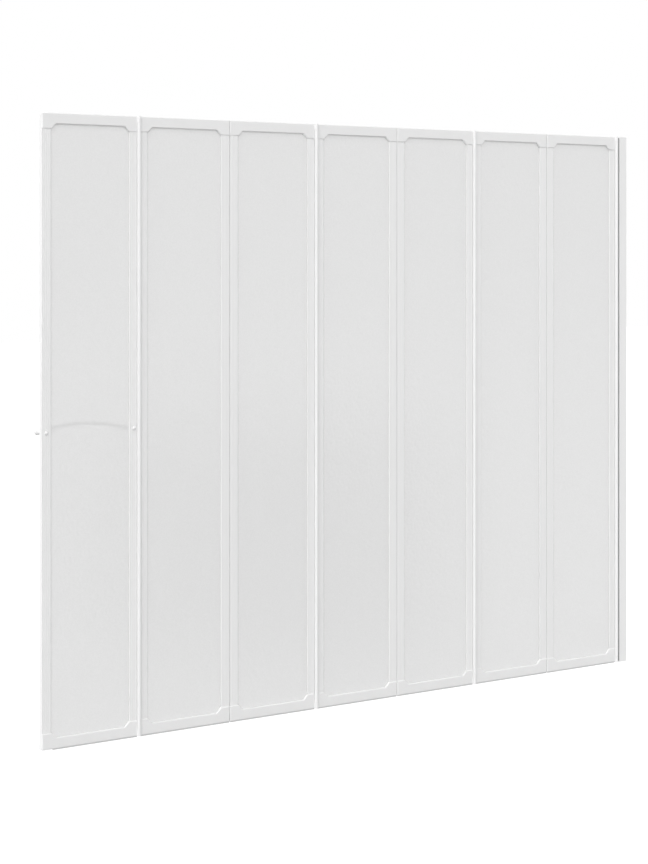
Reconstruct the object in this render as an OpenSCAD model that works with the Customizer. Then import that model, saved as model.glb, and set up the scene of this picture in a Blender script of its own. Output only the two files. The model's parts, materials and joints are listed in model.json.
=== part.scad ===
// Folding bath screen: a row of narrow framed leaves, hinged to each other and to a wall fitting.
// X runs along the screen to the wall at x = 0, the front of the screen faces -Y, and its foot is at z = 0.
// Leaf 1 is the free end. Hinge k is at the right of leaf k, and the last hinge is the wall hinge.

/* [Screen] */
// Number of leaves
leaf_count = 7; // [2:1:7]
// Height of the screen from the foot of its seals
screen_h = 1302; // [900:1:1600]
// Distance between two hinge axes
leaf_pitch = 235; // [160:5:320]
// Gap between two leaves
leaf_gap = 1; // [0.6:0.1:2]
// Distance from the wall to the wall hinge's axis
wall_offset = 35; // [34:1:45]

/* [Stiles] */
// Width of a stile, seen from the front
stile_w = 21.5; // [18:0.5:30]
// Thickness of a stile
stile_t = 9; // [7:0.5:10]
// Wall of the hollow stile
stile_wall = 1.3; // [1:0.1:1.6]
// Rounding of a stile's long edges
stile_round = 0.8; // [0.3:0.1:1]
// Depth of the groove that holds the sheet
groove_depth = 6; // [4:0.5:8]
// Number of flutes on each face of a stile
flute_count = 4; // [2:1:5]
// Depth of a flute
flute_depth = 0.3; // [0.1:0.05:0.5]
// Radius of a flute's hollow
flute_r = 1.9; // [1:0.1:2.5]

/* [Sheet] */
// Thickness of the translucent sheet
sheet_t = 3; // [2:0.5:4]
// Room on each side of the sheet in its groove
sheet_side_room = 0.2; // [0.1:0.05:0.4]
// Room at each edge of the sheet in its groove
sheet_edge_room = 0.4; // [0.2:0.1:0.8]

/* [Caps] */
// Thickness of the caps, front to back
cap_t = 12.5; // [11:0.5:15]
// Height of a cap between its corner pads
cap_h = 22.5; // [20:0.5:30]
// Height of the corner pads over the stiles
pad_h = 33; // [31:0.5:42]
// How far the head of a pad reaches past the stile
pad_head_out = 1.5; // [0:0.5:4]
// Width of the slope from the head of a pad to its foot
pad_slope_w = 10.5; // [6:0.5:14]
// Radius of the shoulder at the head of the slope
shoulder_r = 4; // [4:0.5:6]
// Radius of the hollow at the foot of the slope
foot_r = 5; // [2:0.5:8]
// Bevel round the faces of a cap
cap_bevel = 1.6; // [0.8:0.1:2]
// Rounding of the corners at the free end
free_corner_r = 2.6; // [2.2:0.1:4]
// Height of the slot's floor above a cap's outer face
slot_floor = 10; // [8:0.5:12]
// Length of the tenons that plug into the stiles
tenon_h = 30; // [15:1:50]
// Room round a tenon in the stile
tenon_room = 0.15; // [0.05:0.05:0.3]

/* [Hinges] */
// Outer radius of the hinge barrels
barrel_r = 4.4; // [3.6:0.1:4.6]
// Room between a barrel and the faces that turn round it
swing_room = 0.35; // [0.3:0.05:0.8]
// Half the gap between the caps of two leaves that are folded flat
fold_room = 0.75; // [0.5:0.05:2]
// Height of the ears that hold the hinge pins
ear_h = 13; // [8:0.5:16]
// Running gap between an ear and the knuckle beside it
thrust_gap = 0.2; // [0.1:0.05:0.5]
// Radius of the steel hinge pins
pin_r = 2; // [1.5:0.1:2.4]
// Running clearance of a pin in its barrel, on the radius
pin_clearance = 0.05; // [0.02:0.01:0.1]
// Length of a hinge pin
pin_len = 42; // [36:1:60]
// Closed floor under a pin in its ear
pin_floor = 2; // [1:0.5:4]
// Hollow fillet at the foot of a barrel
foot_fillet = 1; // [0.5:0.1:1.2]

/* [Bottom seals] */
// How far the seals hang below the caps
seal_drop = 2; // [1.5:0.5:5]
// Width of a seal's flange
seal_w = 9; // [7:0.5:10]
// Thickness of the flange and of its two lips
seal_wall = 0.9; // [0.6:0.1:1]
// Width of a seal's stem in its slot
seal_stem_w = 3; // [2:0.5:4]
// Height of a seal's stem
seal_stem_h = 5; // [3:0.5:6]
// Distance from the free end to the first seal
seal_start = 26; // [10:1:40]
// Distance from the other leaf edges to a seal
seal_end = 1; // [0.5:0.5:4]

/* [Wall fitting] */
// Depth of the wall channel, out from the wall
channel_d = 24; // [23:0.5:25]
// Wall thickness of the channel
channel_wall = 1.5; // [1.2:0.1:1.8]
// Thickness of the hinge profile that slides in the channel
profile_t = 9; // [8:0.5:10]
// Wall thickness of the hinge profile
profile_wall = 1.5; // [1.2:0.1:2]
// Width of the block under the barrel of the wall hinge
block_w = 5; // [5:0.5:6]
// Thickness of the neck between that block and the channel
neck_t = 4; // [3:0.5:6]
// Room between the hinge profile and each side of the channel
profile_room = 0.5; // [0.3:0.1:0.8]
// Distance from the wall to the hidden edge of the hinge profile
profile_back = 10.5; // [10:0.5:12]
// Thickness of the channel's end plates
end_plate_t = 2; // [1.5:0.5:3]
// Number of screw holes to the wall
wall_hole_count = 4; // [2:1:6]
// Radius of the screw holes to the wall
wall_hole_r = 2.75; // [2:0.25:3]
// Distance from the ends of the channel to the outer wall holes
wall_hole_end = 100; // [60:5:200]
// Number of adjusting screws
adjust_count = 3; // [2:1:5]
// Travel of the adjusting slots into the wall
adjust_in = 4; // [0:0.5:4]
// Travel of the adjusting slots out from the wall
adjust_out = 6; // [0:0.5:6]
// Shank radius of the adjusting screws
adjust_screw_r = 1.8; // [1.5:0.1:2.2]

/* [Towel rail] */
// Height of the rail's posts
rail_z = 648; // [300:1:900]
// Distance from the leaf's middle plane to the rail
rail_out = 31; // [26:1:60]
// Radius of the rail
rail_r = 3.75; // [3:0.25:5]
// Rise of the rail at its middle
rail_rise = 13; // [6:1:30]
// Radius of the post heads
post_head_r = 6.5; // [6:0.5:9]
// Radius of the posts at their foot
post_foot_r = 8.5; // [7:0.5:9.5]
// Room round the rail's ends in the post heads
rail_room = 0.12; // [0.08:0.01:0.3]
// Shank radius of the rail's screws
rail_screw_r = 2; // [1.5:0.1:2.5]
// Radius of the domed covers over the screw heads
dome_r = 4.7; // [4.4:0.1:6]
// Height of the domed covers
dome_h = 3.4; // [3:0.1:4]

/* [Hidden] */
$fn = 48;
CUT = 1;
MERGE = 0.5;

// Leaves
leaf_w = leaf_pitch - leaf_gap;
frame_foot = seal_drop;
frame_h = screen_h - frame_foot;
groove_x = stile_w - groove_depth;
groove_t = sheet_t + 2 * sheet_side_room;
chamber_w = groove_x - 2 * stile_wall;
chamber_t = stile_t - 2 * stile_wall;
first_flute = 0.75;
flute_pitch = stile_w / (flute_count - 1 + 2 * first_flute);

// Hinges
axis_out = cap_t / 2 + fold_room;
relief_r = barrel_r + swing_room;
bore_r = pin_r + pin_clearance;
knuckle_z = ear_h + thrust_gap;
pin_tip = 0.5;

// Bottom seals
seal_room = 0.3;
seal_barb = 0.4;
seal_barb_h = 1;
seal_tip_bevel = 0.6;
seal_splay = 0.4;

// Wall fitting
channel_inner_t = profile_t + 2 * profile_room;
channel_t = channel_inner_t + 2 * channel_wall;
mouth_r = 1;
plug_w = 4;
plug_h = 12;
plug_room = 0.1;
profile_x = -wall_offset + leaf_gap / 2;
profile_foot_x = 1 - channel_d;
profile_end_room = 0.3;
adjust_edge = 3;
adjust_x = -profile_back - adjust_edge;
adjust_slot_r = adjust_screw_r + 0.3;
adjust_screw_len = 6;
adjust_head_r = 2 * adjust_screw_r;
adjust_crown_r = adjust_head_r - 1;
adjust_head_h = 2.2;
adjust_head_room = 0.05;
recess_len = 4;
recess_w = 0.8;
recess_d = 1;

// Towel rail
post_x = stile_w / 2;
post_waist_r = 4.6;
post_flange_h = 1.5;
post_flange_edge = 1;
post_fillet_r = 0.8;
post_fillet_h = 3.6;
post_waist_h = 6;
rail_chord = leaf_w - stile_w;
rail_R = (pow(rail_chord / 2, 2) + pow(rail_rise, 2)) / (2 * rail_rise);
rail_slope = asin(rail_chord / 2 / rail_R);
rail_end_gap = 1.5;
rail_screw_room = 0.2;
dome_wall = 1.55;
dome_room = 0.15;
screw_head_r = dome_r - dome_wall - dome_room;
screw_head_h = 1.5;
screw_bite = 14;
screw_end_room = 0.5;

// Colours
WHITE = [0.95, 0.95, 0.95];
FROSTED = [0.90, 0.92, 0.92, 0.75];
SEAL_GREY = [0.72, 0.74, 0.75];
STEEL = [0.70, 0.71, 0.73];

function numbered(name) = [for (k = [1:leaf_count]) str(name, "_", k)];

// Place of hinge k along the screen, and of the left edge of leaf k
function hinge_x(k) = -wall_offset - leaf_pitch * (leaf_count - k);
function leaf_x(k) = hinge_x(k - 1) + leaf_gap / 2;

// The hinges stand at the front and at the back in turn, and the wall hinge is at the front
function at_front(k) = (leaf_count - k) % 2 == 0;

// A rectangle from the origin along +X, centred on Y, with round corners
module rounded_strip(w, t, r) {
    translate([r, -t / 2])
        square([w - 2 * r, t]);
    translate([0, r - t / 2])
        square([w, t - 2 * r]);
    for (x = [r, w - r], y = [r - t / 2, t / 2 - r])
        translate([x, y])
            circle(r = r);
}

module in_leaf(k) {
    translate([leaf_x(k), 0, frame_foot])
        children();
}

// Turns a bottom piece over into the top piece of the same leaf
module top_and_bottom() {
    children();
    translate([0, 0, frame_h])
        mirror([0, 0, 1])
            children();
}

// Puts what is drawn on the +Y side on the side where hinge k stands
module on_hinge_side(k) {
    if (at_front(k))
        mirror([0, 1, 0]) children();
    else
        children();
}

// ---- Hinges, drawn round their axis at x = 0, on the +Y side ----

// A round barrel with a foot that joins it to the piece on its right, whose face is at y = face
module knuckle_section(face) {
    fillet = min(foot_fillet, axis_out - face);
    translate([0, axis_out])
        circle(r = barrel_r);
    translate([leaf_gap / 2, face - MERGE])
        square([barrel_r - leaf_gap / 2, axis_out - face + MERGE]);
    difference() {
        translate([barrel_r - MERGE, face - MERGE])
            square([fillet + MERGE, fillet + MERGE]);
        translate([barrel_r + fillet, face + fillet])
            circle(r = fillet);
    }
}

module hinge_bore(r, h) {
    translate([0, axis_out, 0])
        cylinder(r = r, h = h);
}

// ---- Leaves, drawn from their left edge at x = 0 and from the bottom caps' face at z = 0 ----

// Draws round the axis of hinge k, which stands off the left edge of the piece
module at_axis(k) {
    translate([-leaf_gap / 2, 0])
        on_hinge_side(k)
            translate([0, axis_out])
                children();
}

// What is left free in the chamber of a stile: at a hinge, a round wall bounds it
module chamber_section(k, room) {
    difference() {
        translate([stile_wall + room, room - chamber_t / 2])
            square([chamber_w - 2 * room, chamber_t - 2 * room]);
        if (k > 0)
            at_axis(k)
                circle(r = relief_r + stile_wall + room);
    }
}

// Flutes on the +Y face of a stile
module flutes(first) {
    for (i = [first:flute_count - 1])
        translate([(first_flute + i) * flute_pitch, stile_t / 2 + flute_r - flute_depth])
            circle(r = flute_r);
}

// Hollow section of a stile, its outer edge at x = 0 and its groove open to +X. Hinge k is at that edge, or
// none if k is 0. The hinge takes the place of the first flute.
module stile_section(k) {
    difference() {
        rounded_strip(stile_w, stile_t, stile_round);
        chamber_section(k, 0);
        translate([groove_x, -groove_t / 2])
            square([groove_depth + CUT, groove_t]);
        on_hinge_side(k) {
            flutes(min(k, 1));
            mirror([0, 1, 0])
                flutes(0);
        }
    }
}

module stile_length() {
    translate([0, 0, pad_h])
        linear_extrude(height = frame_h - 2 * pad_h)
            children();
}

// Holes through both walls of leaf 1's stiles for the screws of the towel rail
module rail_screw_hole() {
    translate([post_x, 0, rail_z - frame_foot])
        rotate([90, 0, 0])
            cylinder(r = rail_screw_r + rail_screw_room, h = stile_t + 2 * CUT, center = true);
}

module left_stile(k) {
    color(WHITE)
        in_leaf(k)
            difference() {
                stile_length()
                    union() {
                        stile_section(k - 1);
                        if (k > 1)
                            translate([-leaf_gap / 2, 0])
                                on_hinge_side(k - 1)
                                    knuckle_section(stile_t / 2);
                    }
                if (k > 1)
                    translate([-leaf_gap / 2, 0, 0])
                        on_hinge_side(k - 1)
                            hinge_bore(bore_r, frame_h);
                if (k == 1)
                    rail_screw_hole();
            }
}

module right_stile(k) {
    color(WHITE)
        in_leaf(k)
            translate([leaf_w, 0, 0])
                mirror([1, 0, 0])
                    difference() {
                        stile_length()
                            difference() {
                                stile_section(k);
                                at_axis(k)
                                    circle(r = relief_r);
                            }
                        if (k == 1)
                            rail_screw_hole();
                    }
}

module sheet(k) {
    x = groove_x + sheet_edge_room;
    z = slot_floor + sheet_edge_room;
    color(FROSTED)
        in_leaf(k)
            translate([x, -sheet_t / 2, z])
                cube([leaf_w - 2 * x, sheet_t, frame_h - 2 * z]);
}

// Section of a cap's bar: t across and h high, with all four edges bevelled
module bevelled_section(t, h) {
    side = t / 2;
    polygon([
        [cap_bevel - side, 0],
        [side - cap_bevel, 0],
        [side, cap_bevel],
        [side, h - cap_bevel],
        [side - cap_bevel, h],
        [cap_bevel - side, h],
        [-side, h - cap_bevel],
        [-side, cap_bevel]
    ]);
}

// A bevelled bar that runs along +X from the origin
module bevelled_bar(length, h) {
    rotate([90, 0, 90])
        linear_extrude(height = length)
            bevelled_section(cap_t, h);
}

// Corner pad at the left end of a cap: a high bar, a round shoulder, a slope down to the cap's middle, and a
// hollow at its foot
module corner_pad() {
    side = cap_t / 2;
    head_x = stile_w + pad_head_out;
    foot_x = head_x + pad_slope_w;
    slope = atan((pad_h - cap_h) / pad_slope_w);
    slope_len = (pad_h - cap_h) / sin(slope);
    shoulder_x = head_x - shoulder_r * tan(slope / 2);
    slope_t = (foot_x - shoulder_x) * sin(slope) + 2 * cap_bevel;
    foot_outer_r = foot_r / cos(slope / 2) + 2 * cap_bevel;
    bevelled_bar(shoulder_x, pad_h);
    translate([shoulder_x, 0, pad_h - shoulder_r]) {
        rotate([90, 0, 0]) {
            cylinder(r = shoulder_r, h = cap_t - 2 * cap_bevel, center = true);
            for (face = [0, 1])
                mirror([0, 0, face])
                    translate([0, 0, side - cap_bevel])
                        cylinder(r1 = shoulder_r, r2 = shoulder_r - cap_bevel, h = cap_bevel);
        }
        rotate([0, slope, 0])
            translate([0, 0, shoulder_r - slope_t])
                bevelled_bar(slope_len, slope_t);
    }
    translate([foot_x + foot_r * tan(slope / 2), 0, cap_h + foot_r])
        rotate([90, 0, 0])
            rotate([0, 0, -90 - slope])
                rotate_extrude(angle = slope)
                    polygon([
                        [foot_r, cap_bevel - side],
                        [foot_r + cap_bevel, -side],
                        [foot_outer_r, -side],
                        [foot_outer_r, side],
                        [foot_r + cap_bevel, side],
                        [foot_r, side - cap_bevel]
                    ]);
}

// Solid form of a cap, with its vertical edges bevelled like the long ones
module cap_form() {
    side = cap_t / 2;
    intersection() {
        union() {
            bevelled_bar(leaf_w, cap_h);
            corner_pad();
            translate([leaf_w, 0, 0])
                mirror([1, 0, 0])
                    corner_pad();
        }
        linear_extrude(height = pad_h)
            polygon([
                [0, cap_bevel - side],
                [cap_bevel, -side],
                [leaf_w - cap_bevel, -side],
                [leaf_w, cap_bevel - side],
                [leaf_w, side - cap_bevel],
                [leaf_w - cap_bevel, side],
                [cap_bevel, side],
                [0, side - cap_bevel]
            ]);
    }
}

// What is taken off the lower left corner of leaf 1's caps to round it
module free_corner() {
    rotate([90, 0, 0])
        linear_extrude(height = cap_t + 2 * CUT, center = true)
            difference() {
                translate([-CUT, -CUT])
                    square([free_corner_r + CUT, free_corner_r + CUT]);
                translate([free_corner_r, free_corner_r])
                    circle(r = free_corner_r);
            }
}

module tenon(k) {
    translate([0, 0, pad_h - CUT])
        linear_extrude(height = tenon_h + CUT)
            chamber_section(k, tenon_room);
}

// Cap of leaf k in its bottom place, with the ear of hinge k and the knuckle of the hinge to its left
module cap(k) {
    difference() {
        union() {
            difference() {
                cap_form();
                if (k == 1)
                    free_corner();
                translate([groove_x, -groove_t / 2, slot_floor])
                    cube([leaf_w - 2 * groove_x, groove_t, pad_h]);
                translate([leaf_w + leaf_gap / 2, 0, ear_h])
                    on_hinge_side(k)
                        hinge_bore(relief_r, pad_h);
                if (k > 1)
                    translate([-leaf_gap / 2, 0, -CUT])
                        on_hinge_side(k - 1)
                            hinge_bore(relief_r, knuckle_z + CUT);
            }
            tenon(k - 1);
            translate([leaf_w, 0, 0])
                mirror([1, 0, 0])
                    tenon(k);
            translate([leaf_w + leaf_gap / 2, 0, 0])
                mirror([1, 0, 0])
                    on_hinge_side(k)
                        linear_extrude(height = ear_h)
                            knuckle_section(cap_t / 2);
            if (k > 1)
                translate([-leaf_gap / 2, 0, knuckle_z])
                    on_hinge_side(k - 1)
                        linear_extrude(height = pad_h - knuckle_z)
                            knuckle_section(cap_t / 2);
        }
        translate([leaf_w + leaf_gap / 2, 0, pin_floor])
            on_hinge_side(k)
                hinge_bore(pin_r, ear_h);
        if (k > 1)
            translate([-leaf_gap / 2, 0, 0])
                on_hinge_side(k - 1)
                    hinge_bore(bore_r, pad_h + CUT);
    }
}

module top_cap(k) {
    color(WHITE)
        in_leaf(k)
            translate([0, 0, frame_h])
                mirror([0, 0, 1])
                    cap(k);
}

function seal_from(k) = k == 1 ? seal_start : seal_end;

module bottom_cap(k) {
    slot_x = seal_from(k) - seal_room;
    slot_w = seal_stem_w + 2 * seal_room;
    color(WHITE)
        in_leaf(k)
            difference() {
                cap(k);
                translate([slot_x, -slot_w / 2, -CUT])
                    cube([leaf_w + CUT - slot_x, slot_w, seal_stem_h + seal_room + CUT]);
            }
}

// Section of a seal: a barbed stem in the cap's slot, a flange, and two lips that hang from it
module seal_section() {
    stem = seal_stem_w / 2;
    lip = seal_w / 2;
    half = [
        [stem - seal_tip_bevel, seal_stem_h],
        [stem, seal_stem_h - seal_barb_h],
        [stem - seal_barb, seal_stem_h - seal_barb_h],
        [stem - seal_barb, 0],
        [lip, 0],
        [lip + seal_splay, -seal_drop],
        [lip + seal_splay - seal_wall, -seal_drop],
        [lip - seal_wall, -seal_wall]
    ];
    count = len(half);
    polygon(concat(
        half,
        [for (i = [count - 1:-1:0]) [-half[i][0], half[i][1]]]
    ));
}

// The flange and the lip on a hinge's side are cut away round the hinge's ear
module bottom_seal(k) {
    color(SEAL_GREY)
        in_leaf(k)
            difference() {
                translate([seal_from(k), 0, 0])
                    rotate([90, 0, 90])
                        linear_extrude(height = leaf_w - seal_end - seal_from(k))
                            seal_section();
                translate([leaf_w + leaf_gap / 2, 0, -seal_drop - CUT])
                    on_hinge_side(k)
                        hinge_bore(relief_r, seal_drop + 2 * CUT);
                if (k > 1)
                    translate([-leaf_gap / 2, 0, -seal_drop - CUT])
                        on_hinge_side(k - 1)
                            hinge_bore(relief_r, seal_drop + 2 * CUT);
            }
}

// The two steel pins of hinge k, each pressed into an ear and running in the knuckles beyond it
module hinge_pins(k) {
    color(STEEL)
        translate([hinge_x(k), 0, frame_foot])
            on_hinge_side(k)
                top_and_bottom()
                    translate([0, axis_out, pin_floor]) {
                        cylinder(r = pin_r, h = pin_len - pin_tip);
                        translate([0, 0, pin_len - pin_tip])
                            cylinder(r1 = pin_r, r2 = pin_r - pin_tip, h = pin_tip);
                    }
}

// ---- Wall fitting ----

function wall_hole_z(i) =
    wall_hole_end + i * (screen_h - 2 * wall_hole_end) / (wall_hole_count - 1);
function adjust_z(i) =
    wall_hole_end / 2 + i * (screen_h - wall_hole_end) / (adjust_count - 1);

// U-shaped section of the channel, with its flat back at x = 0 and round lips at its mouth
module channel_section() {
    difference() {
        translate([-channel_d, 0])
            union() {
                rounded_strip(channel_d, channel_t, mouth_r);
                translate([channel_d / 2, -channel_t / 2])
                    square([channel_d / 2, channel_t]);
            }
        translate([-channel_d - CUT, -channel_inner_t / 2])
            square([channel_d + CUT - channel_wall, channel_inner_t]);
    }
}

module wall_channel() {
    color(WHITE)
        difference() {
            translate([0, 0, end_plate_t])
                linear_extrude(height = screen_h - 2 * end_plate_t)
                    channel_section();
            for (i = [0:wall_hole_count - 1])
                translate([-channel_wall - CUT, 0, wall_hole_z(i)])
                    rotate([0, 90, 0])
                        cylinder(r = wall_hole_r, h = channel_wall + 2 * CUT);
            for (i = [0:adjust_count - 1])
                translate([adjust_x, profile_t / 2, adjust_z(i)]) {
                    for (x = [-adjust_out, adjust_in])
                        translate([x, 0, 0])
                            rotate([-90, 0, 0])
                                cylinder(r = adjust_slot_r, h = channel_t);
                    translate([-adjust_out, 0, -adjust_slot_r])
                        cube([adjust_in + adjust_out, channel_t, 2 * adjust_slot_r]);
                }
        }
}

// A plate over each end of the channel, with a plug that grips inside it next to the wall
module channel_end_plates() {
    plug_t = channel_inner_t - 2 * plug_room;
    color(WHITE)
        for (top = [false, true])
            translate([0, 0, top ? screen_h : 0])
                mirror([0, 0, top ? 1 : 0]) {
                    linear_extrude(height = end_plate_t)
                        translate([-channel_d, 0])
                            rounded_strip(channel_d, channel_t, mouth_r);
                    translate([-channel_wall - plug_w, -plug_t / 2, end_plate_t - MERGE])
                        cube([plug_w, plug_t, plug_h + MERGE]);
                }
}

// Section of the hinge profile: a block for the barrel, a neck, and a hollow foot that slides in the channel
module profile_section() {
    foot_w = -profile_back - profile_foot_x;
    hollow_t = profile_t - 2 * profile_wall;
    translate([profile_x, 0])
        rounded_strip(block_w, profile_t, stile_round);
    translate([profile_x + block_w - MERGE, -neck_t / 2])
        square([profile_foot_x - profile_x - block_w + 2 * MERGE, neck_t]);
    translate([profile_foot_x, 0])
        difference() {
            rounded_strip(foot_w, profile_t, stile_round);
            translate([profile_wall, -hollow_t / 2])
                square([foot_w, hollow_t]);
        }
}

// Profile that carries the wall hinge and slides in the channel to take up an uneven wall
module wall_hinge_profile() {
    barrel_foot = frame_foot + knuckle_z;
    barrel_top = screen_h - knuckle_z;
    end_room = end_plate_t + profile_end_room;
    color(WHITE)
        difference() {
            union() {
                translate([0, 0, end_room])
                    linear_extrude(height = screen_h - 2 * end_room)
                        profile_section();
                translate([-wall_offset, 0, barrel_foot])
                    on_hinge_side(leaf_count)
                        linear_extrude(height = barrel_top - barrel_foot)
                            knuckle_section(profile_t / 2);
            }
            for (z = [-CUT, barrel_top])
                translate([-wall_offset, 0, z])
                    on_hinge_side(leaf_count)
                        hinge_bore(relief_r, barrel_foot + CUT);
            translate([-wall_offset, 0, 0])
                on_hinge_side(leaf_count)
                    hinge_bore(bore_r, screen_h);
            for (i = [0:adjust_count - 1])
                translate([adjust_x, 0, adjust_z(i)])
                    rotate([-90, 0, 0])
                        cylinder(r = adjust_screw_r, h = profile_t);
        }
}

// Pan-headed screws through the slots in the back of the channel into the hinge profile, loose enough to slide
module adjusting_screws() {
    color(STEEL)
        for (i = [0:adjust_count - 1])
            translate([adjust_x, channel_t / 2 + adjust_head_room, adjust_z(i)])
                rotate([-90, 0, 0])
                    difference() {
                        union() {
                            cylinder(r1 = adjust_head_r, r2 = adjust_crown_r, h = adjust_head_h);
                            translate([0, 0, -adjust_screw_len])
                                cylinder(r = adjust_screw_r, h = adjust_screw_len + MERGE);
                        }
                        for (turn = [0, 90])
                            rotate([0, 0, turn])
                                translate([-recess_len / 2, -recess_w / 2, adjust_head_h - recess_d])
                                    cube([recess_len, recess_w, recess_d + CUT]);
                    }
}

// ---- Towel rail on the back of leaf 1 ----

module at_posts() {
    translate([leaf_x(1), 0, rail_z]) {
        translate([post_x, 0, 0])
            children();
        translate([leaf_w - post_x, 0, 0])
            mirror([1, 0, 0])
                children();
    }
}

module towel_bar() {
    sweep = 2 * asin((rail_chord / 2 - rail_end_gap) / rail_R);
    color(WHITE)
        translate([leaf_x(1) + leaf_w / 2, rail_out, rail_z + rail_rise - rail_R])
            rotate([90, 0, 0])
                rotate([0, 0, 90 - sweep / 2])
                    rotate_extrude(angle = sweep, $fn = 180)
                        translate([rail_R, 0])
                            circle(r = rail_r);
}

// Half of a post's section: a flange on the stile, a waisted neck, and a round head
module post_section() {
    head_y = rail_out - stile_t / 2;
    intersection() {
        union() {
            polygon([
                [0, 0],
                [post_foot_r, 0],
                [post_foot_r, post_flange_h],
                [post_foot_r - post_flange_edge, post_flange_h + post_flange_edge],
                [post_waist_r + post_fillet_r, post_fillet_h],
                [post_waist_r, post_waist_h],
                [post_waist_r, head_y],
                [0, head_y]
            ]);
            translate([0, head_y])
                circle(r = post_head_r);
        }
        square([post_foot_r, head_y + post_head_r]);
    }
}

// Turned posts, each with a socket in its head for the rail and a pilot hole for its screw
module towel_posts() {
    foot = stile_t / 2;
    color(WHITE)
        at_posts()
            difference() {
                translate([0, foot, 0])
                    rotate([-90, 0, 0])
                        rotate([0, 0, 180])
                            rotate_extrude()
                                post_section();
                translate([0, rail_out, 0])
                    rotate([0, 90 - rail_slope, 0])
                        cylinder(r = rail_r + rail_room, h = 2 * post_head_r);
                translate([0, foot - CUT, 0])
                    rotate([-90, 0, 0])
                        cylinder(r = rail_screw_r, h = screw_bite + CUT);
            }
}

module towel_screws() {
    color(STEEL)
        at_posts()
            translate([0, -stile_t / 2, 0])
                rotate([-90, 0, 0]) {
                    translate([0, 0, -screw_head_h])
                        cylinder(r = screw_head_r, h = screw_head_h);
                    cylinder(r = rail_screw_r, h = stile_t + screw_bite - screw_end_room);
                }
}

module towel_screw_covers() {
    ball_r = (dome_r * dome_r + dome_h * dome_h) / (2 * dome_h);
    color(WHITE)
        at_posts()
            translate([0, -stile_t / 2, 0])
                rotate([90, 0, 0])
                    difference() {
                        translate([0, 0, dome_h - ball_r])
                            sphere(r = ball_r);
                        translate([-dome_r - CUT, -dome_r - CUT, -3 * ball_r])
                            cube([2 * (dome_r + CUT), 2 * (dome_r + CUT), 3 * ball_r]);
                        translate([0, 0, -CUT])
                            cylinder(r = screw_head_r + dome_room, h = screw_head_h + dome_room + CUT);
                    }
}

for (k = [1:leaf_count]) {
    sheet(k);
    left_stile(k);
    right_stile(k);
    top_cap(k);
    bottom_cap(k);
    bottom_seal(k);
    hinge_pins(k);
}
wall_channel();
channel_end_plates();
wall_hinge_profile();
adjusting_screws();
towel_bar();
towel_posts();
towel_screws();
towel_screw_covers();
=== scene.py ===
# %% [markdown]
# # A folding bath screen
# Seven narrow leaves of frosted polystyrene hang in a row from a wall channel. Each leaf has two fluted PVC
# stiles and two moulded ABS caps, and the leaves are hinged at the front and at the back in turn.
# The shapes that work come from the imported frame. This script gives every surface its finish, remakes the
# sheets, whose surface is finer than the frame's, and sets up a camera, a floor and plain soft light.
# X runs along the screen to the wall, -Y is the front, Z is up, and all lengths are in metres.

import json
from math import pi, radians

import bpy
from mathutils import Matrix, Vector


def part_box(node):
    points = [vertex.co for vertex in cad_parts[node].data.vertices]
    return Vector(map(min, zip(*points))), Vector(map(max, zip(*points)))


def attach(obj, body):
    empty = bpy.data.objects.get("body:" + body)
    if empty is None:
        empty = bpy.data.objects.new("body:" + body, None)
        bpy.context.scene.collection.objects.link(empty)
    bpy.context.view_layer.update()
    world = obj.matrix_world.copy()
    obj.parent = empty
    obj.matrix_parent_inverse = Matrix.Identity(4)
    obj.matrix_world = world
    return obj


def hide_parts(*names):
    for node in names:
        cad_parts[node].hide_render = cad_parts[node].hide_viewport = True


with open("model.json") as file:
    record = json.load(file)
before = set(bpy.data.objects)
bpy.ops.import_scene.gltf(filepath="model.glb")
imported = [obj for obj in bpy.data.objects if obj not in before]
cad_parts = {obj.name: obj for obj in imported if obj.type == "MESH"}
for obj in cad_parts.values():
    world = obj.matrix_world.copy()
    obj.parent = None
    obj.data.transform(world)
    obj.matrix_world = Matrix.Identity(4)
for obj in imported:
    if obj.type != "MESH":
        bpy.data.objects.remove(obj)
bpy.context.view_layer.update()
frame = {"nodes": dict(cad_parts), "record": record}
nodes = frame["nodes"]
subparts = frame["record"]["subparts"]
MM = 0.001
LEAVES = 7

# %% [markdown]
# ## Camera
# The upright edges of the screen are parallel in the photograph, so the camera was level and its picture was
# framed with a vertical shift. The row at which all level lines meet gives that shift. The lens is long, and the
# camera stood in front and well to the left, so the leaves near the free end look a little larger.

# %% Camera
PHOTO_H = 864
HORIZON_ROW = 251.3
FOCAL_PIXELS = 2275.5
SENSOR = 36
TURN = radians(37.875)      # how far the camera is turned from square to the screen
CAMERA_PLACE = (-4.070, -4.014, 1.0187)
VIEW_END = 200              # far enough for the whole floor

camera_data = bpy.data.cameras.new("photo_camera")
camera_data.sensor_width = SENSOR
camera_data.lens = FOCAL_PIXELS / PHOTO_H * SENSOR
camera_data.shift_y = (HORIZON_ROW - PHOTO_H / 2) / PHOTO_H
camera_data.clip_end = VIEW_END
camera = bpy.data.objects.new("photo_camera", camera_data)
camera.location = CAMERA_PLACE
camera.rotation_euler = (pi / 2, 0, -TURN)
bpy.context.scene.collection.objects.link(camera)
bpy.context.scene.camera = camera
print("lens", round(camera_data.lens, 1), "mm, shift", round(camera_data.shift_y, 4))

# %% [markdown]
# ## Small helpers
# Colours are written as the hex values that a picture would show, and one function turns them to the linear
# values that Cycles works in. One more adds a node with its settings and links, which keeps a material short.
# Every pattern in a material follows Object coordinates, so that it stays on its piece when the piece moves.

# %% Helpers for colours, nodes and operators
COLOUR_A, COLOUR_B, COLOUR_OUT = 6, 7, 2    # a Mix node's sockets for colours, after those for numbers and vectors


def linear(hex_colour, alpha=1.0):
    """The linear colour of an sRGB hex value."""
    channels = [int(hex_colour[i:i + 2], 16) / 255 for i in (1, 3, 5)]
    return tuple(c / 12.92 if c <= 0.04045 else ((c + 0.055) / 1.055) ** 2.4 for c in channels) + (alpha,)


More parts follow.
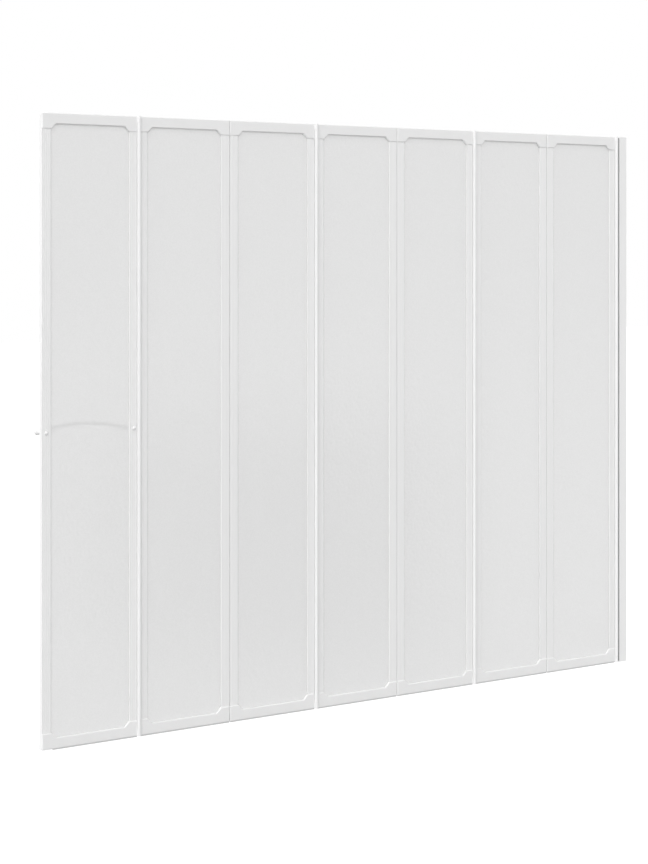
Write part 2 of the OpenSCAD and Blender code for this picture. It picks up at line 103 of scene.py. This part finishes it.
def add_node(tree, kind, inputs=None, **settings):
    """Adds a node. A socket among its inputs is linked, and any other value is set."""
    node = tree.nodes.new(kind)
    for name, value in settings.items():
        setattr(node, name, value)
    for name, value in (inputs or {}).items():
        if isinstance(value, bpy.types.NodeSocket):
            tree.links.new(value, node.inputs[name])
        else:
            node.inputs[name].default_value = value
    return node


def new_material(name):
    """An empty node material, its tree and its output node."""
    material = bpy.data.materials.new(name)
    material.use_nodes = True
    material.node_tree.nodes.clear()
    output = material.node_tree.nodes.new("ShaderNodeOutputMaterial")
    return material, material.node_tree, output


def background_rays(tree):
    """1 for a ray that sees the background from the camera, a gloss or a clear body, and 0 for all others."""
    rays = add_node(tree, "ShaderNodeLightPath")
    seen = rays.outputs["Is Camera Ray"]
    for kind in ("Is Glossy Ray", "Is Transmission Ray"):
        either = add_node(tree, "ShaderNodeMath", {0: seen, 1: rays.outputs[kind]}, operation="MAXIMUM")
        seen = either.outputs[0]
    return seen


def deselect_all():
    """Leaves no object selected, so that an operator acts only on what is chosen next."""
    for thing in bpy.context.selected_objects:
        thing.select_set(False)


# %% [markdown]
# ## Floor
# The screen hangs over a bath, so the floor lies a bath's height below its foot. It is painted grey and takes the
# shadow. A glow that only the camera, glosses and clear bodies see lifts it to the white of the background.

# %% Floor
FLOOR_DROP = 0.55
FLOOR_SIZE = 60
FLOOR_GREY = "#AAAAAA"
FLOOR_LIFT = 0.62           # what the lit grey still lacks to be white

floor_material, tree, output = new_material("painted_studio_floor")
lift = add_node(tree, "ShaderNodeMath", {0: background_rays(tree), 1: FLOOR_LIFT}, operation="MULTIPLY")
paint = add_node(tree, "ShaderNodeBsdfDiffuse", {"Color": linear(FLOOR_GREY)})
glow = add_node(tree, "ShaderNodeEmission", {"Strength": lift.outputs[0]})
both = add_node(tree, "ShaderNodeAddShader", {0: paint.outputs[0], 1: glow.outputs[0]})
tree.links.new(both.outputs[0], output.inputs["Surface"])

deselect_all()
bpy.ops.mesh.primitive_plane_add(size=FLOOR_SIZE, location=(0, 0, -FLOOR_DROP))
floor = bpy.context.object
floor.name = "studio_floor"
floor.data.materials.append(floor_material)
print("floor", FLOOR_DROP, "m below the screen")

# %% [markdown]
# ## World and lamps
# A studio picture of a white product is lit from nearly everywhere, with larger and nearer lamps on one side. The
# world does most of this: it grows evenly brighter towards the upper left, which lights the left faces and the
# upper edges more and throws no hard shadow. On the other side it is held at an even dim level. The camera sees it
# as plain white.
# Wide suns add the rest, for near and far leaves alike: the key light from the upper left, a weak light from the
# right that draws the edges turned that way, and one from behind for the rail and the backs.

# %% World
AMBIENT = 0.555
RISE = 1.1                  # how much brighter the world is on its bright side than across it
BRIGHT_SIDE = (-0.90, 0.0, 0.43)
DIM_SIDE = 0.33             # no side of it is darker than this
WHITE = (1, 1, 1, 1)

world = bpy.data.worlds.new("plain_studio")
world.use_nodes = True
tree = world.node_tree
tree.nodes.clear()
aim = add_node(tree, "ShaderNodeTexCoord")
towards = add_node(tree, "ShaderNodeVectorMath", {0: aim.outputs["Generated"], 1: BRIGHT_SIDE},
                   operation="DOT_PRODUCT")
rising = add_node(tree, "ShaderNodeMath", {0: towards.outputs["Value"], 1: RISE, 2: AMBIENT},
                  operation="MULTIPLY_ADD")
room = add_node(tree, "ShaderNodeMath", {0: rising.outputs[0], 1: DIM_SIDE}, operation="MAXIMUM")
level = add_node(tree, "ShaderNodeMapRange",
                 {"Value": background_rays(tree), "To Min": room.outputs[0], "To Max": 1.0})
sky = add_node(tree, "ShaderNodeBackground", {"Color": WHITE, "Strength": level.outputs[0]})
world_output = tree.nodes.new("ShaderNodeOutputWorld")
tree.links.new(sky.outputs[0], world_output.inputs["Surface"])
bpy.context.scene.world = world
bpy.context.scene.view_settings.view_transform = "Standard"

# %% Lamps
SUNS = {                    # the share of full light, where it comes from and how many degrees wide it is
    "key_light": (0.35, (-0.50, -0.70, 0.50), 60),
    "side_light": (0.14, (0.97, -0.15, 0.15), 50),
    "back_light": (0.25, (0.35, 0.70, 0.62), 50),
}


def wide_sun(name, share, origin, spread):
    """A sun that adds the given share of full light to a face that looks straight at it."""
    data = bpy.data.lights.new(name, "SUN")
    data.energy = share * pi
    data.angle = radians(spread)
    lamp = bpy.data.objects.new(name, data)
    lamp.rotation_mode = "QUATERNION"
    lamp.rotation_quaternion = Vector(origin).to_track_quat("Z", "Y")
    bpy.context.scene.collection.objects.link(lamp)


for name, settings in SUNS.items():
    wide_sun(name, *settings)
print("suns", ", ".join(SUNS))

# %% [markdown]
# ## Black flag
# Where a gloss would mirror too much white, a photographer holds up a flag, which is a frame of black cloth. The
# lower part of the middle leaves is a little darker in the photograph, as such a reflection makes it. This flag
# stands low in front, and only glosses see it, so it takes no light away and throws no shadow.

# %% Black flag
FLAG_AT = (0.40, -2.06, 0.05)
FLAG_FACES = (-0.60, 0.79, 0.11)
FLAG_SIZE = (1.1, 0.8)
FLAG_BLACK = "#0A0A0A"

flag_material, tree, output = new_material("black_flag_cloth")
cloth = add_node(tree, "ShaderNodeBsdfDiffuse", {"Color": linear(FLAG_BLACK)})
tree.links.new(cloth.outputs[0], output.inputs["Surface"])

deselect_all()
bpy.ops.mesh.primitive_plane_add(size=1, location=FLAG_AT)
flag = bpy.context.object
flag.name = "black_flag"
flag.rotation_mode = "QUATERNION"
flag.rotation_quaternion = Vector(FLAG_FACES).to_track_quat("Z", "Y")
flag.scale = (*FLAG_SIZE, 1)
flag.data.materials.append(flag_material)
for kind in ("camera", "diffuse", "transmission", "volume_scatter", "shadow"):
    setattr(flag, f"visible_{kind}", False)
print("flag", *FLAG_SIZE, "m, seen only by glosses")

# %% [markdown]
# ## White mouldings: injection-moulded ABS
# The caps, the end plates and the towel rail are ABS, moulded in a finely spark-eroded tool. It is a neutral white
# with a satin gloss, and the eye reads it from soft reflections that break up a little in the fine texture. The
# rail's mould is polished, so its gloss is tighter.

# %% ABS
ABS_WHITE = "#EBEBEB"
ABS_CLOUD = "#E7E7E7"
ABS_GLOSSY_WHITE = "#E0E0E0"
SPARK_GRAIN = 0.9 * MM      # real grain is about 0.1 mm, drawn coarser so that it shows
CLOUD = 60 * MM             # the colour drifts over about this far, as the plastic flows into its mould
GLOSS_SWING = 0.05          # how much the grain makes the roughness go up and down


def moulded_abs(name, colour, roughness, grain_height):
    """White ABS with clouds in its colour, and the fine grain of its mould in the gloss and the surface."""
    material, tree, output = new_material(name)
    place = add_node(tree, "ShaderNodeTexCoord")
    grain = add_node(tree, "ShaderNodeTexNoise",
                     {"Vector": place.outputs["Object"], "Scale": 1 / SPARK_GRAIN, "Detail": 2.0,
                      "Roughness": 0.6})
    cloud = add_node(tree, "ShaderNodeTexNoise",
                     {"Vector": place.outputs["Object"], "Scale": 1 / CLOUD, "Detail": 3.0, "Roughness": 0.5})
    tint = add_node(tree, "ShaderNodeMix",
                    {"Factor": cloud.outputs["Fac"], COLOUR_A: linear(colour), COLOUR_B: linear(ABS_CLOUD)},
                    data_type="RGBA")
    gloss = add_node(tree, "ShaderNodeMapRange",
                     {"Value": grain.outputs["Fac"], "To Min": roughness - GLOSS_SWING,
                      "To Max": roughness + GLOSS_SWING})
    bump = add_node(tree, "ShaderNodeBump",
                    {"Height": grain.outputs["Fac"], "Distance": grain_height, "Strength": 0.5})
    skin = add_node(tree, "ShaderNodeBsdfPrincipled",
                    {"Base Color": tint.outputs[COLOUR_OUT], "Roughness": gloss.outputs[0],
                     "Normal": bump.outputs[0], "IOR": 1.53})
    tree.links.new(skin.outputs[0], output.inputs["Surface"])
    return material


cap_abs = moulded_abs("moulded_abs_satin", ABS_WHITE, roughness=0.38, grain_height=0.03 * MM)
rail_abs = moulded_abs("moulded_abs_glossy", ABS_GLOSSY_WHITE, roughness=0.2, grain_height=0.01 * MM)
print("made", cap_abs.name, "and", rail_abs.name)

# %% [markdown]
# ## Stiles: extruded PVC
# The stiles are pushed through a die, which leaves faint lines along their whole length. Noise that is stretched
# along Z gives such lines, in the colour, the gloss and the surface.

# %% PVC
PVC_WHITE = "#ECECEC"
PVC_LINE = "#E6E6E6"
DIE_LINE = 0.8 * MM
ALONG_DIE = 0.004           # the noise is stretched along the profile by one over this


def extruded_pvc(name):
    """White PVC with die lines that run up Z."""
    material, tree, output = new_material(name)
    place = add_node(tree, "ShaderNodeTexCoord")
    along = add_node(tree, "ShaderNodeMapping", {"Vector": place.outputs["Object"], "Scale": (1, 1, ALONG_DIE)})
    lines = add_node(tree, "ShaderNodeTexNoise",
                     {"Vector": along.outputs[0], "Scale": 1 / DIE_LINE, "Detail": 2.0, "Roughness": 0.5})
    tint = add_node(tree, "ShaderNodeMix",
                    {"Factor": lines.outputs["Fac"], COLOUR_A: linear(PVC_WHITE), COLOUR_B: linear(PVC_LINE)},
                    data_type="RGBA")
    gloss = add_node(tree, "ShaderNodeMapRange", {"Value": lines.outputs["Fac"], "To Min": 0.3, "To Max": 0.42})
    bump = add_node(tree, "ShaderNodeBump",
                    {"Height": lines.outputs["Fac"], "Distance": 0.02 * MM, "Strength": 0.5})
    skin = add_node(tree, "ShaderNodeBsdfPrincipled",
                    {"Base Color": tint.outputs[COLOUR_OUT], "Roughness": gloss.outputs[0],
                     "Normal": bump.outputs[0], "IOR": 1.53})
    tree.links.new(skin.outputs[0], output.inputs["Surface"])
    return material


stile_pvc = extruded_pvc("extruded_white_pvc")
print("made", stile_pvc.name)

# %% [markdown]
# ## Wall profiles: powder-coated aluminium, with painted shade
# The wall channel is aluminium with a white powder coat, which dries with a slight orange peel. The hinge profile
# has this coat on its hinge side. From its neck on, where it slides in the channel, a grey painted shade stands
# for the shadow in the slot beside the channel. Where the painted shade starts is read from the X of the surface.

# %% Powder coat and painted shade
COAT_WHITE = "#EEEEEE"
COAT_WAVE = "#E9E9E9"
PEEL = 2.2 * MM
# Painted shade: this grey stands for the shadow in the slot between the hinge barrel and the channel.
SLOT_SHADE_GREY = "#9A9A9B"
SHADE_START_X = -29.4 * MM      # where the coat of the hinge profile ends, along X
SHADE_FADE = 0.4 * MM


def powder_coat(name, shade_start=None):
    """White coating with the low waves of orange peel. Past the given X, towards the wall, grey is painted as the
    slot's shade.
    """
    material, tree, output = new_material(name)
    place = add_node(tree, "ShaderNodeTexCoord")
    waves = add_node(tree, "ShaderNodeTexNoise",
                     {"Vector": place.outputs["Object"], "Scale": 1 / PEEL, "Detail": 1.0, "Roughness": 0.4})
    tint = add_node(tree, "ShaderNodeMix",
                    {"Factor": waves.outputs["Fac"], COLOUR_A: linear(COAT_WHITE), COLOUR_B: linear(COAT_WAVE)},
                    data_type="RGBA")
    paint = tint.outputs[COLOUR_OUT]
    if shade_start is not None:
        # Past the given X the colour fades to a painted shade of grey, for the shadow in the slot.
        across = add_node(tree, "ShaderNodeSeparateXYZ", {"Vector": place.outputs["Object"]})
        in_shade = add_node(tree, "ShaderNodeMapRange",
                        {"Value": across.outputs["X"], "From Min": shade_start, "From Max": shade_start + SHADE_FADE})
        shaded_paint = add_node(tree, "ShaderNodeMix",
                         {"Factor": in_shade.outputs[0], COLOUR_A: paint, COLOUR_B: linear(SLOT_SHADE_GREY)},
                         data_type="RGBA")
        paint = shaded_paint.outputs[COLOUR_OUT]
    bump = add_node(tree, "ShaderNodeBump",
                    {"Height": waves.outputs["Fac"], "Distance": 0.05 * MM, "Strength": 0.4})
    skin = add_node(tree, "ShaderNodeBsdfPrincipled",
                    {"Base Color": paint, "Normal": bump.outputs[0], "Roughness": 0.32, "IOR": 1.5})
    tree.links.new(skin.outputs[0], output.inputs["Surface"])
    return material


wall_coat = powder_coat("powder_coated_aluminium")
# The hinge profile's finish has a painted shade from its neck on, for the shadow in the slot beside the channel.
slider_coat_and_shade = powder_coat("coated_aluminium_with_painted_shade", SHADE_START_X)
print("made", wall_coat.name, "and", slider_coat_and_shade.name)

# %% [markdown]
# ## Frosted sheet: rolled polystyrene
# The sheets are 3 mm polystyrene, rolled with low pebbles on the front and smooth at the back. The plastic is
# clear, but the pebbles and a little white in it scatter the light, so the eye sees a pale even grey with a faint
# grain, and the towel rail behind the free leaf only as a blurred shape. So the front face scatters most of the
# light, and the back face lets most of it through.

# %% Polystyrene
SHEET_WHITE = "#EDEDED"
SHEET_WHITE_LOW = "#E0E0E0"
BACK_CLEAR = "#FAFAFA"
BACK_HAZE = "#F4F4F4"
HAZE_GRAIN = 2.5 * MM


def polystyrene(name, colour, haze_colour, clear, roughness):
    """Polystyrene that lets the given share of the light through and scatters the rest."""
    material, tree, output = new_material(name)
    place = add_node(tree, "ShaderNodeTexCoord")
    haze = add_node(tree, "ShaderNodeTexNoise",
                    {"Vector": place.outputs["Object"], "Scale": 1 / HAZE_GRAIN, "Detail": 3.0, "Roughness": 0.6})
    tint = add_node(tree, "ShaderNodeMix",
                    {"Factor": haze.outputs["Fac"], COLOUR_A: linear(colour), COLOUR_B: linear(haze_colour)},
                    data_type="RGBA")
    bump = add_node(tree, "ShaderNodeBump",
                    {"Height": haze.outputs["Fac"], "Distance": 0.1 * MM, "Strength": 0.5})
    skin = add_node(tree, "ShaderNodeBsdfPrincipled",
                    {"Base Color": tint.outputs[COLOUR_OUT], "Normal": bump.outputs[0], "Roughness": roughness,
                     "IOR": 1.59, "Transmission Weight": clear})
    tree.links.new(skin.outputs[0], output.inputs["Surface"])
    return material


sheet_plastic = polystyrene("rolled_frosted_polystyrene", SHEET_WHITE, SHEET_WHITE_LOW, clear=0.17, roughness=0.22)
sheet_back = polystyrene("clear_polystyrene_back", BACK_CLEAR, BACK_HAZE, clear=0.85, roughness=0.1)
print("made", sheet_plastic.name, "and", sheet_back.name)

# %% [markdown]
# ## Seals and steel
# The seals are soft extruded PVC, clear grey and matt from the fine sweat of plasticiser, with streaks along X.
# The screws and the hinge pins are stainless steel, turned and tumbled, which leaves a soft, uneven gloss.

# %% Soft PVC and steel
SEAL_GREY = "#CBCBCB"
SEAL_STREAK = "#BFBFC0"
STREAK = 0.6 * MM
ALONG_SEAL = 0.01           # the streaks are stretched along the seal by one over this
STEEL_GREY = "#C8C8C6"
TUMBLE_MARK = 0.4 * MM

seal_pvc, tree, output = new_material("soft_grey_pvc")
place = add_node(tree, "ShaderNodeTexCoord")
along = add_node(tree, "ShaderNodeMapping", {"Vector": place.outputs["Object"], "Scale": (ALONG_SEAL, 1, 1)})
streaks = add_node(tree, "ShaderNodeTexNoise", {"Vector": along.outputs[0], "Scale": 1 / STREAK, "Detail": 2.0})
tint = add_node(tree, "ShaderNodeMix",
                {"Factor": streaks.outputs["Fac"], COLOUR_A: linear(SEAL_GREY), COLOUR_B: linear(SEAL_STREAK)},
                data_type="RGBA")
skin = add_node(tree, "ShaderNodeBsdfPrincipled",
                {"Base Color": tint.outputs[COLOUR_OUT], "Roughness": 0.5, "IOR": 1.52})
tree.links.new(skin.outputs[0], output.inputs["Surface"])

steel, tree, output = new_material("stainless_steel_turned")
place = add_node(tree, "ShaderNodeTexCoord")
marks = add_node(tree, "ShaderNodeTexNoise",
                 {"Vector": place.outputs["Object"], "Scale": 1 / TUMBLE_MARK, "Detail": 3.0})
gloss = add_node(tree, "ShaderNodeMapRange", {"Value": marks.outputs["Fac"], "To Min": 0.22, "To Max": 0.4})
skin = add_node(tree, "ShaderNodeBsdfPrincipled",
                {"Base Color": linear(STEEL_GREY), "Metallic": 1.0, "Roughness": gloss.outputs[0]})
tree.links.new(skin.outputs[0], output.inputs["Surface"])
print("made", seal_pvc.name, "and", steel.name)

# %% [markdown]
# ## Finishes on the frame's pieces
# Every node of the frame keeps its shape and takes the finish of the material slot that the record gives it. Only
# the hinge profile differs from its slot, because a shade is painted on it from its neck on.

# %% Give each node its finish
SLOT_FINISHES = {"frosted_sheet": sheet_plastic, "stile_pvc": stile_pvc, "cap_abs": cap_abs,
                 "rail_abs": rail_abs, "wall_profile": wall_coat, "seal_pvc": seal_pvc, "steel": steel}
OWN_FINISHES = {"wall_hinge_profile": slider_coat_and_shade}

for part in subparts:
    mesh = nodes[part["node"]].data
    mesh.materials.clear()
    mesh.materials.append(OWN_FINISHES.get(part["node"], SLOT_FINISHES[part["material_slot"]]))
print("finished", len(subparts), "nodes")

# %% [markdown]
# ## Pebbled sheets
# A rolled sheet is flat at the back and pebbled at the front. A fine grid is laid where the front face is, pushed
# in between the pebbles by a Displace modifier whose Voronoi texture measures the squared distance to the nearest
# pebble, which gives round tops and sharp valleys, and then extruded back to the flat rear face. The rim that the
# stiles and the caps hold stays smooth: a vertex group keeps the modifier to the window inside it.

# %% Make the sheets
PEBBLE = 7 * MM
PEBBLE_DEPTH = 0.3 * MM
PEBBLE_RISE = 0.19 * MM     # the pebbles stand up until they all but fill the room in the stiles' grooves
SIDE_RIM = 7.5 * MM
END_RIM = 13 * MM
GRID_STEP = 2.2 * MM
SHARP_EDGE = radians(40)
BACK_NORMAL = 0.9           # a face whose normal has more Y than this is the flat back

pebbles = bpy.data.textures.new("pebbles", "VORONOI")
pebbles.distance_metric = "DISTANCE_SQUARED"
pebbles.noise_scale = PEBBLE
pebbles.noise_intensity = 1.0


def front_grid(name, low, high):
    """A fine grid over the front of a box, with its place and size in its mesh."""
    size = high - low
    middle = (low + high) / 2
    deselect_all()
    bpy.ops.mesh.primitive_grid_add(
        x_subdivisions=round(size.x / GRID_STEP), y_subdivisions=round(size.z / GRID_STEP), size=1,
        location=(middle.x, low.y - PEBBLE_RISE, middle.z), rotation=(pi / 2, 0, 0))
    piece = bpy.context.object
    piece.name = name
    piece.scale = (size.x, size.z, 1)
    bpy.ops.object.transform_apply(location=True, rotation=True, scale=True)
    return piece


def press_pebbles(piece, low, high):
    """Presses the valleys between the pebbles into the window of a sheet."""
    inside = [v.index for v in piece.data.vertices
              if low.x + SIDE_RIM < v.co.x < high.x - SIDE_RIM and low.z + END_RIM < v.co.z < high.z - END_RIM]
    window = piece.vertex_groups.new(name="window")
    window.add(inside, 1.0, "REPLACE")
    relief = piece.modifiers.new("relief", "DISPLACE")
    relief.vertex_group = window.name
    relief.texture = pebbles
    relief.texture_coords = "LOCAL"
    relief.direction = "Y"
    relief.strength = PEBBLE_DEPTH
    relief.mid_level = 0
    bpy.ops.object.modifier_apply(modifier=relief.name)


def close_back(low, high):
    """Extrudes the grid's border back to the rear face, makes it level there and closes it."""
    bpy.ops.object.mode_set(mode="EDIT")
    bpy.ops.mesh.select_mode(type="EDGE")
    bpy.ops.mesh.select_all(action="DESELECT")
    bpy.ops.mesh.select_non_manifold()
    bpy.ops.mesh.extrude_edges_move(TRANSFORM_OT_translate={"value": (0, high.y - low.y, 0)})
    bpy.ops.transform.resize(value=(1, 0, 1), center_override=(0, high.y, 0))
    bpy.ops.mesh.edge_face_add()
    bpy.ops.mesh.select_all(action="SELECT")
    bpy.ops.mesh.normals_make_consistent(inside=False)
    bpy.ops.object.mode_set(mode="OBJECT")
    bpy.ops.object.shade_smooth_by_angle(angle=SHARP_EDGE)


def pebbled_sheet(k):
    """The sheet of leaf k, with pebbles on its front face and the clear finish on its back."""
    low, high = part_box(f"sheet_{k}")
    piece = front_grid(f"pebbled_sheet_{k}", low, high)
    press_pebbles(piece, low, high)
    close_back(low, high)
    piece.data.materials.append(sheet_plastic)
    piece.data.materials.append(sheet_back)
    for face in piece.data.polygons:
        face.material_index = int(face.normal.y > BACK_NORMAL)
    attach(piece, f"leaf_{k}")
    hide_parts(f"sheet_{k}")
    return piece


for k in range(1, LEAVES + 1):
    made = pebbled_sheet(k)
    depths = [v.co.y / MM for v in made.data.vertices]
    print(made.name, len(made.data.polygons), "faces, y", round(min(depths), 2), "to", round(max(depths), 2))
